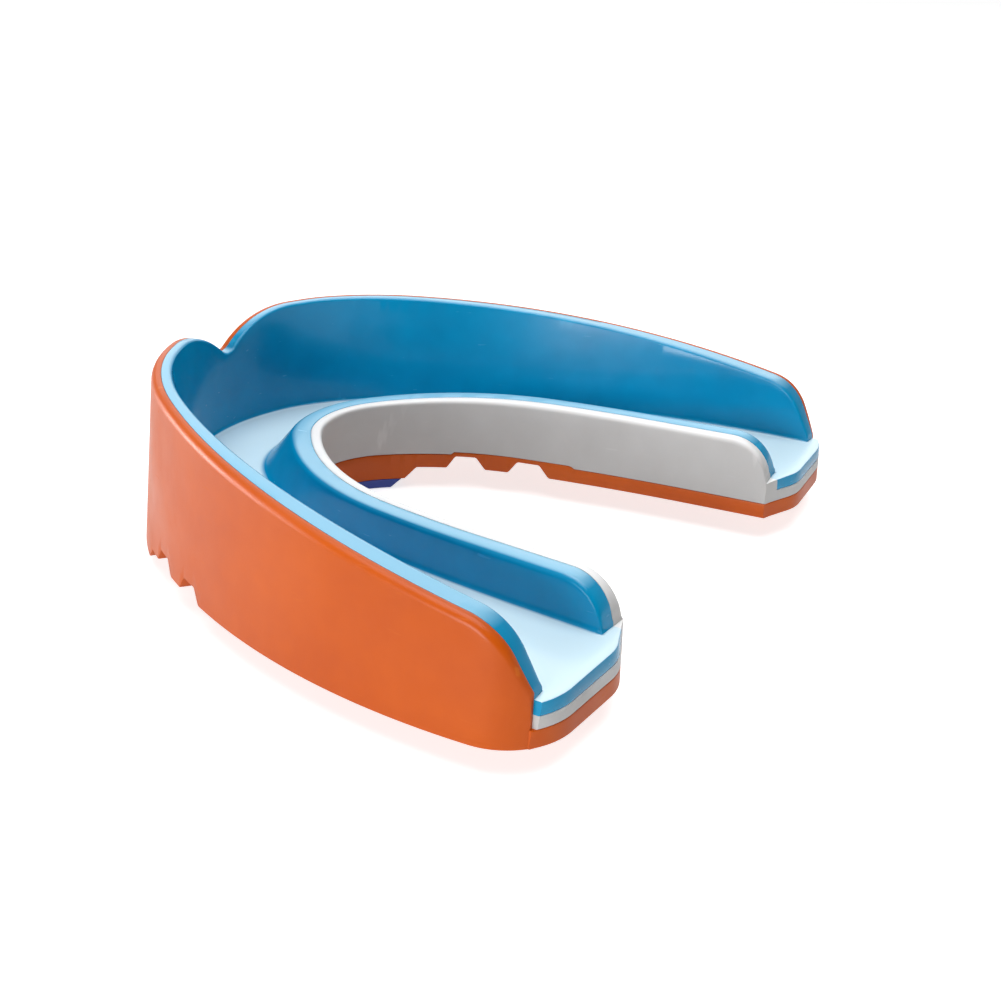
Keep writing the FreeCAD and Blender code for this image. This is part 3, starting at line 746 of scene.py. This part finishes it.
def moulded(name, colour, deep, worn, roughness, grain):
    """Soft moulded plastic: clouded colour, fine grain, flow lines, scuffs and rubbed edges."""
    nodes = Nodes(name)
    clouds = nodes.noise(scale=70.0, detail=4.0)
    mottle = nodes.math("MULTIPLY", nodes.noise(scale=420.0, detail=5.0), 0.35)
    cloudy = nodes.remap(nodes.math("ADD", clouds, mottle), span=(0.4, 0.95), result=(0.0, 1.0))
    colours = nodes.blend(cloudy, deep, colour)
    rubbed = nodes.remap(nodes.pointiness(), span=(0.53, 0.62), result=(0.0, 0.35))
    patches = nodes.remap(nodes.noise(scale=260.0, detail=5.0), span=(0.4, 0.65), result=(0.2, 1.0))
    colours = nodes.blend(nodes.math("MULTIPLY", rubbed, patches), colours, worn)
    scuff_noise = nodes.noise(scale=900.0, detail=2.0, stretch=(1.0, 0.25, 3.0))
    scuffs = nodes.math("MULTIPLY", nodes.remap(scuff_noise, span=(0.7, 0.78), result=(0.0, 1.0)), 0.12)
    colours = nodes.blend(scuffs, colours, worn)
    nodes.link(colours, nodes.shader.inputs["Base Color"])
    gloss = nodes.remap(nodes.noise(scale=160.0, detail=5.0), span=(0.3, 0.7),
                        result=(roughness * 0.8, roughness * 1.25))
    nodes.link(nodes.math("ADD", gloss, scuffs), nodes.shader.inputs["Roughness"])
    flow = nodes.noise(scale=120.0, detail=2.0, stretch=(1.0, 1.0, 0.35))
    normal = nodes.bump(flow, distance=0.05 * MM, strength=0.25)
    normal = nodes.bump(nodes.noise(scale=9000.0, detail=2.0), distance=0.01 * MM, strength=grain,
                        under=normal)
    nodes.link(normal, nodes.shader.inputs["Normal"])
    return nodes


def shell_material():
    """Satin orange elastomer."""
    nodes = moulded("shell_orange", colour=(0.60, 0.100, 0.001), deep=(0.50, 0.072, 0.001),
                    worn=(0.78, 0.24, 0.03), roughness=0.36, grain=0.5)
    nodes.shader.inputs["Specular IOR Level"].default_value = 0.3
    return nodes.material


def frame_material():
    """Satin white elastomer, a little see-through at thin edges, with a painted highlight that makes it
    paler where it looks up.
    """
    nodes = moulded("frame_white", colour=(0.54, 0.535, 0.53), deep=(0.46, 0.455, 0.45),
                    worn=(0.80, 0.80, 0.80), roughness=0.42, grain=0.4)
    # painted highlight: faces that look up are blended towards a paler white
    nodes.recolour(nodes.facing_up(span=(0.3, 0.9), most=1.0), (0.86, 0.86, 0.86))
    nodes.shader.inputs["Subsurface Weight"].default_value = 0.15
    nodes.shader.inputs["Subsurface Radius"].default_value = (0.8 * MM, 0.6 * MM, 0.5 * MM)
    nodes.shader.inputs["Subsurface Scale"].default_value = 1.0
    return nodes.material


def liner_material():
    """Glossy blue boil-and-bite plastic, with a painted highlight that makes it paler where its faces
    look up.
    """
    nodes = moulded("liner_blue", colour=(0.0003, 0.30, 0.56), deep=(0.0003, 0.22, 0.43),
                    worn=(0.03, 0.50, 0.80), roughness=0.2, grain=0.25)
    # painted highlight: faces that look up are blended towards pale blue, palest on the floor and less
    # pale higher up on the crests
    height = nodes.tree.nodes.new("ShaderNodeSeparateXYZ")
    nodes.link(nodes.coordinates, height.inputs["Vector"])
    bed = place(0, 0, FLOOR_3)[2]
    raised = nodes.remap(height.outputs["Z"], span=(bed + 0.4 * MM, bed + 2.0 * MM), result=(0.0, 1.0))
    floor_painted_highlight = (0.72, 0.90, 0.97)
    crest_painted_highlight = (0.26, 0.56, 0.76)
    nodes.recolour(nodes.facing_up(span=(0.8, 0.97), most=0.9),
                   nodes.blend(raised, floor_painted_highlight, crest_painted_highlight))
    nodes.shader.inputs["Specular IOR Level"].default_value = 0.3
    nodes.shader.inputs["Coat Weight"].default_value = 0.08
    nodes.shader.inputs["Coat Roughness"].default_value = 0.06
    return nodes.material


def pad_material():
    """Satin royal blue elastomer."""
    nodes = moulded("pad_blue", colour=(0.016, 0.055, 0.38), deep=(0.010, 0.036, 0.28),
                    worn=(0.10, 0.16, 0.5), roughness=0.38, grain=0.5)
    nodes.shader.inputs["Sheen Weight"].default_value = 0.1
    return nodes.material


def floor_material():
    """Pale studio paper with a glow of its own, stronger in plain view than as light on the object."""
    nodes = moulded("studio_paper", colour=(0.62, 0.62, 0.62), deep=(0.60, 0.60, 0.60),
                    worn=(0.64, 0.64, 0.64), roughness=0.8, grain=0.1)
    seen = nodes.tree.nodes.new("ShaderNodeLightPath").outputs["Is Camera Ray"]
    glow = nodes.remap(seen, span=(0.0, 1.0), result=(0.30, 0.75))
    nodes.link(glow, nodes.shader.inputs["Emission Strength"])
    nodes.shader.inputs["Emission Color"].default_value = (1, 1, 1, 1)
    return nodes.material


def add_pieces():
    """One piece per layer, each on the rigid body and in the place of its CAD node."""
    pad_top = -STEP_DEPTH - PAD_LEAST
    pad_stations = [station for station in STATIONS if station.pad_low is not None
                    and station.pad_low < pad_top]
    layers = (
        ("shell", "outer_shell", "shell_plastic", STATIONS, shell_profile, shell_material()),
        ("frame", "inner_frame", "frame_plastic", STATIONS, frame_profile, frame_material()),
        ("liner", "fit_liner", "liner_plastic", STATIONS, liner_profile, liner_material()),
        ("pad", "front_pad", "pad_plastic", pad_stations, pad_profile, pad_material()),
    )
    for name, node, slot, stations, profile_of, material in layers:
        piece = sweep(name, stations, profile_of, material)
        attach(piece, "root")
        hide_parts(node)


# ---------------------------------------------------------------- studio
def add_floor():
    """A wide sheet of paper just under the pad."""
    half = 3.0
    low = -0.05 * MM
    corners = [(-half, -half, low), (half, -half, low), (half, half, low), (-half, half, low)]
    data = bpy.data.meshes.new("floor")
    data.from_pydata(corners, [], [(0, 1, 2, 3)])
    data.materials.append(floor_material())
    floor = bpy.data.objects.new("floor", data)
    bpy.context.scene.collection.objects.link(floor)


def add_lamp(name, location, target, width, height, power):
    """A soft rectangular lamp aimed at a target, in metres and watts."""
    light = bpy.data.lights.new(name, "AREA")
    light.shape = "RECTANGLE"
    light.size = width
    light.size_y = height
    light.energy = power
    lamp = bpy.data.objects.new(name, light)
    lamp.location = location
    lamp.rotation_euler = (Vector(target) - Vector(location)).to_track_quat("-Z", "Y").to_euler()
    bpy.context.scene.collection.objects.link(lamp)
    return lamp


def add_lamps():
    """Soft light from above and behind, light on one arm's side, and a highlight on its wall."""
    middle = (0, 0, 0)
    arm = (0.02, 0.0, 0.005)
    add_lamp("ceiling", (0.0, 0.0, 0.55), middle, width=0.5, height=0.5, power=3.0)
    add_lamp("back", (-0.42, -0.26, 0.26), middle, width=0.62, height=0.40, power=1.0)
    add_lamp("side", (0.48, -0.02, 0.10), arm, width=0.25, height=0.15, power=1.3)
    highlight = add_lamp("sheen", (0.14, -0.46, 0.05), arm, width=0.3, height=0.2, power=2.5)
    highlight.visible_diffuse = False


def add_camera():
    """A three-quarter view from behind one arm, slightly rolled."""
    azimuth, elevation, roll = (math.radians(angle) for angle in (120.191, 24.223, 0.895))
    distance = 132.102
    target = Vector((-5.541, 31.125, 0))
    back = Vector((math.sin(azimuth) * math.cos(elevation), -math.cos(azimuth) * math.cos(elevation),
                   math.sin(elevation)))
    right = Vector((math.cos(azimuth), math.sin(azimuth), 0))
    up = back.cross(right)
    across = right * math.cos(roll) + up * math.sin(roll)
    upward = up * math.cos(roll) - right * math.sin(roll)
    location = target + back * distance
    data = bpy.data.cameras.new("camera")
    data.sensor_width = 36.0
    data.lens = 49.60
    data.clip_start = 0.005
    camera = bpy.data.objects.new("camera", data)
    rotation = Matrix((across, upward, back)).transposed().to_4x4()
    camera.matrix_world = Matrix.Translation(Vector(place(*location))) @ rotation
    bpy.context.scene.collection.objects.link(camera)
    bpy.context.scene.camera = camera


def set_world():
    """A pale room that grows dim behind the camera."""
    world = bpy.data.worlds.new("studio")
    bpy.context.scene.world = world
    world.use_nodes = True
    tree = world.node_tree
    background = tree.nodes["Background"]
    background.inputs["Strength"].default_value = 0.4
    direction = tree.nodes.new("ShaderNodeTexCoord").outputs["Generated"]
    camera_side = (0.6, 0.8, 0.0)
    facing = tree.nodes.new("ShaderNodeVectorMath")
    facing.operation = "DOT_PRODUCT"
    facing.inputs[1].default_value = camera_side
    tree.links.new(direction, facing.inputs[0])
    span = (-0.2, 0.7)
    brightness = (0.8, 0.12)
    shade = tree.nodes.new("ShaderNodeMapRange")
    for socket, number in zip(shade.inputs[1:5], span + brightness):
        socket.default_value = number
    tree.links.new(facing.outputs["Value"], shade.inputs["Value"])
    tree.links.new(shade.outputs["Result"], background.inputs["Color"])


add_pieces()
add_floor()
add_lamps()
set_world()
add_camera()
bpy.context.scene.view_settings.view_transform = "Standard"
